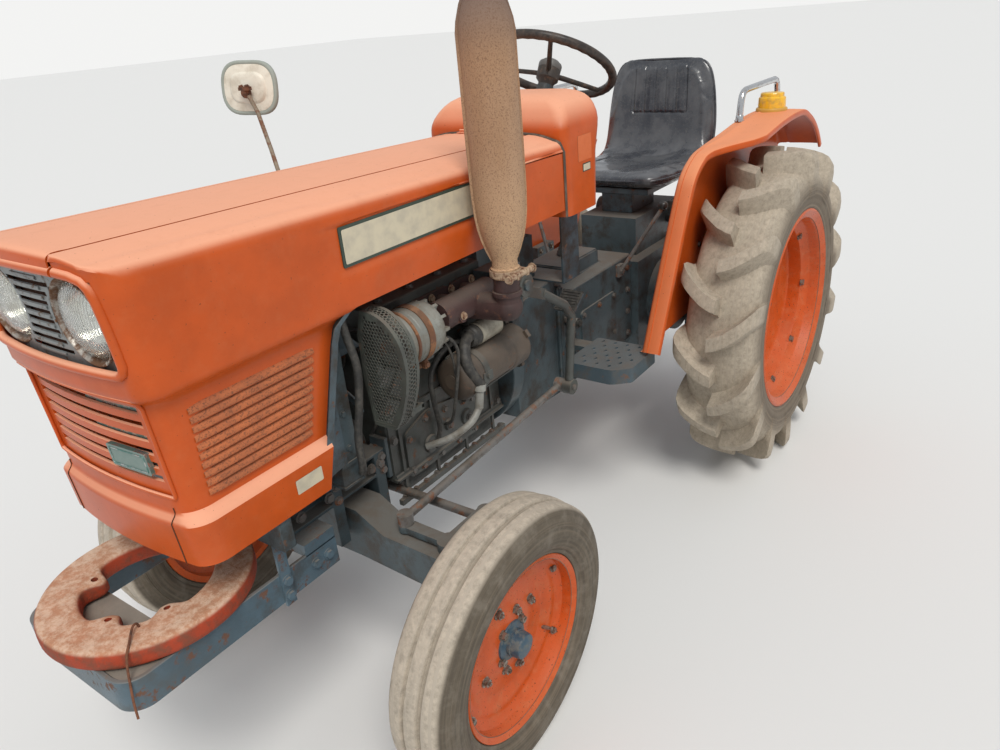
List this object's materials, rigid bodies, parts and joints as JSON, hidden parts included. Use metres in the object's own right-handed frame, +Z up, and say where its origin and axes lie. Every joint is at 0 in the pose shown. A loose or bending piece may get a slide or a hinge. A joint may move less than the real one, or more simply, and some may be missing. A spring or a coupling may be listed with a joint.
{
  "type": "compact farm tractor",
  "caption": "Compact two-wheel-drive farm tractor with ribbed front and high-lug rear wheels, steering linkage, opening bonnet, exhaust stack and rear three-point linkage.",
  "frame": {"origin": "on the floor, under the middle of the tractor's length and width, with the wheels on the floor", "axes": "+X forward, +Y to the tractor's left, +Z up"},
  "size_m": [2.8892, 1.31, 1.68],
  "materials": {
    "orange_paint": "sun-faded semi-gloss enamel",
    "orange_iron": "worn orange paint over rusty cast iron",
    "grey_paint": "dusty satin grey paint",
    "blue_grey_paint": "oily, dusty blue-grey paint",
    "engine_iron": "grey-green paint under oily dust",
    "bare_alloy": "dull cast alloy",
    "bare_steel": "greased bare steel",
    "rusty_iron": "dry beige and brown rust",
    "rubber_trim": "matt black rubber",
    "lamp_glass": "ribbed clear glass over a reflector",
    "amber_plastic": "translucent amber",
    "chrome": "slightly pitted chrome",
    "vinyl": "shiny black vinyl",
    "lever_steel": "worn black paint",
    "tyre": "dusty dried mud on rubber",
    "wheel_grip": "weathered dark plastic"
  },
  "bodies": {
    "chassis": {"side_panels": "orange_paint", "lower_grille": "orange_paint", "dash_cowl": "orange_paint", "fenders": "orange_paint", "upper_grille": "grey_paint", "belt_guard": "grey_paint", "mirror": "grey_paint", "front_frame": "blue_grey_paint", "bumper": "blue_grey_paint", "front_axle": "blue_grey_paint", "clutch_housing": "blue_grey_paint", "transmission": "blue_grey_paint", "rear_axle": "blue_grey_paint", "lift_case": "blue_grey_paint", "footsteps": "blue_grey_paint", "dash_support": "blue_grey_paint", "steering_column": "blue_grey_paint", "steering_box": "blue_grey_paint", "seat_frame": "blue_grey_paint", "pedals": "blue_grey_paint", "radiator": "blue_grey_paint", "drawbar": "blue_grey_paint", "engine": "engine_iron", "starter": "engine_iron", "cooling_fan": "engine_iron", "dynamo": "bare_alloy", "exhaust_manifold": "rusty_iron", "muffler": "rusty_iron", "weight_ring": "orange_iron", "trim_band": "rubber_trim", "headlamps": "lamp_glass", "fender_lamps": "amber_plastic", "grab_rails": "chrome", "seat_pad": "vinyl", "levers": "lever_steel"},
    "hood_lid": {"hood_lid": "orange_paint"},
    "front_wheel_left": {"front_tyre_left": "tyre", "front_rim_left": "orange_paint"},
    "front_wheel_right": {"front_tyre_right": "tyre", "front_rim_right": "orange_paint"},
    "rear_wheel_left": {"rear_tyre_left": "tyre", "rear_rim_left": "orange_paint"},
    "rear_wheel_right": {"rear_tyre_right": "tyre", "rear_rim_right": "orange_paint"},
    "knuckle_left": {"knuckle_left": "blue_grey_paint"},
    "knuckle_right": {"knuckle_right": "blue_grey_paint"},
    "tie_rod": {"tie_rod": "blue_grey_paint"},
    "pitman_arm": {"pitman_arm": "blue_grey_paint"},
    "drag_link": {"drag_link": "blue_grey_paint"},
    "lift_arms": {"lift_arms": "blue_grey_paint"},
    "lower_link_left": {"lower_link_left": "blue_grey_paint"},
    "lower_link_right": {"lower_link_right": "blue_grey_paint"},
    "lift_rod_left": {"lift_rod_left": "blue_grey_paint"},
    "lift_rod_right": {"lift_rod_right": "blue_grey_paint"},
    "pto_shaft": {"pto_shaft": "bare_steel"},
    "steering_wheel": {"steering_wheel": "wheel_grip"}
  },
  "joints": [
    {"name": "steer_left", "type": "hinge", "parent": "chassis", "child": "knuckle_left", "pos_m": [0.79763, 0.38, 0.45], "axis": [0, 0, 1], "range_deg": [-35, 35]},
    {"name": "steer_right", "type": "hinge", "parent": "chassis", "child": "knuckle_right", "pos_m": [0.79763, -0.38, 0.45], "axis": [0, 0, 1], "range_deg": [-35, 35]},
    {"name": "tie_rod_eye", "type": "hinge", "parent": "knuckle_left", "child": "tie_rod", "pos_m": [0.66763, 0.38, 0.49], "axis": [0, 0, 1], "range_deg": [-35, 35]},
    {"name": "pitman_swing", "type": "hinge", "parent": "chassis", "child": "pitman_arm", "pos_m": [0.27563, 0.255, 0.905], "axis": [0, 1, 0], "range_deg": [-12, 12]},
    {"name": "drag_link_eye", "type": "hinge", "parent": "pitman_arm", "child": "drag_link", "pos_m": [0.10562, 0.268, 0.552], "axis": [0, 1, 0], "range_deg": [-9, 9]},
    {"name": "steering_turn", "type": "hinge", "parent": "chassis", "child": "steering_wheel", "pos_m": [-0.30838, 0, 1.36], "axis": [-0.5299, 0, 0.848], "range_deg": [-350, 350]},
    {"name": "front_wheel_left_spin", "type": "hinge", "parent": "knuckle_left", "child": "front_wheel_left", "pos_m": [0.79763, 0.507, 0.31423], "axis": [0, 0.9993, -0.0366], "continuous": true},
    {"name": "front_wheel_right_spin", "type": "hinge", "parent": "knuckle_right", "child": "front_wheel_right", "pos_m": [0.79763, -0.507, 0.31423], "axis": [0, 0.9993, 0.0366], "continuous": true},
    {"name": "rear_wheel_left_spin", "type": "hinge", "parent": "chassis", "child": "rear_wheel_left", "pos_m": [-0.76938, 0.532, 0.528], "axis": [0, 1, 0], "continuous": true},
    {"name": "rear_wheel_right_spin", "type": "hinge", "parent": "chassis", "child": "rear_wheel_right", "pos_m": [-0.76938, -0.532, 0.528], "axis": [0, 1, 0], "continuous": true},
    {"name": "hood_lid_hinge", "type": "hinge", "parent": "chassis", "child": "hood_lid", "pos_m": [0.03213, 0, 1.23061], "axis": [0, -1, 0], "range_deg": [0, 60]},
    {"name": "lift_arms_raise", "type": "hinge", "parent": "chassis", "child": "lift_arms", "pos_m": [-0.91938, 0, 0.79], "axis": [0, 1, 0], "range_deg": [-35, 18]},
    {"name": "lower_link_left_raise", "type": "hinge", "parent": "chassis", "child": "lower_link_left", "pos_m": [-0.86938, 0.25, 0.4], "axis": [0, 1, 0], "range_deg": [-35, 18]},
    {"name": "lower_link_right_raise", "type": "hinge", "parent": "chassis", "child": "lower_link_right", "pos_m": [-0.86938, -0.25, 0.4], "axis": [0, 1, 0], "range_deg": [-35, 18]},
    {"name": "lift_rod_left_eye", "type": "hinge", "parent": "lift_arms", "child": "lift_rod_left", "pos_m": [-1.17437, 0.23, 0.84], "axis": [0, 1, 0], "range_deg": [-18, 35]},
    {"name": "lift_rod_right_eye", "type": "hinge", "parent": "lift_arms", "child": "lift_rod_right", "pos_m": [-1.17437, -0.23, 0.84], "axis": [0, 1, 0], "range_deg": [-18, 35]},
    {"name": "pto_spin", "type": "hinge", "parent": "chassis", "child": "pto_shaft", "pos_m": [-0.93937, 0, 0.48], "axis": [1, 0, 0], "continuous": true}
  ],
  "couplings": [
    {"joint": "steer_right", "follows": "steer_left", "ratio": 1},
    {"joint": "tie_rod_eye", "follows": "steer_left", "ratio": -1},
    {"joint": "pitman_swing", "follows": "steer_left", "ratio": -0.321},
    {"joint": "drag_link_eye", "follows": "steer_left", "ratio": 0.2425},
    {"joint": "steering_turn", "follows": "steer_left", "ratio": 10},
    {"joint": "lower_link_left_raise", "follows": "lift_arms_raise", "ratio": 1},
    {"joint": "lower_link_right_raise", "follows": "lift_arms_raise", "ratio": 1},
    {"joint": "lift_rod_left_eye", "follows": "lift_arms_raise", "ratio": -1},
    {"joint": "lift_rod_right_eye", "follows": "lift_arms_raise", "ratio": -1}
  ]
}
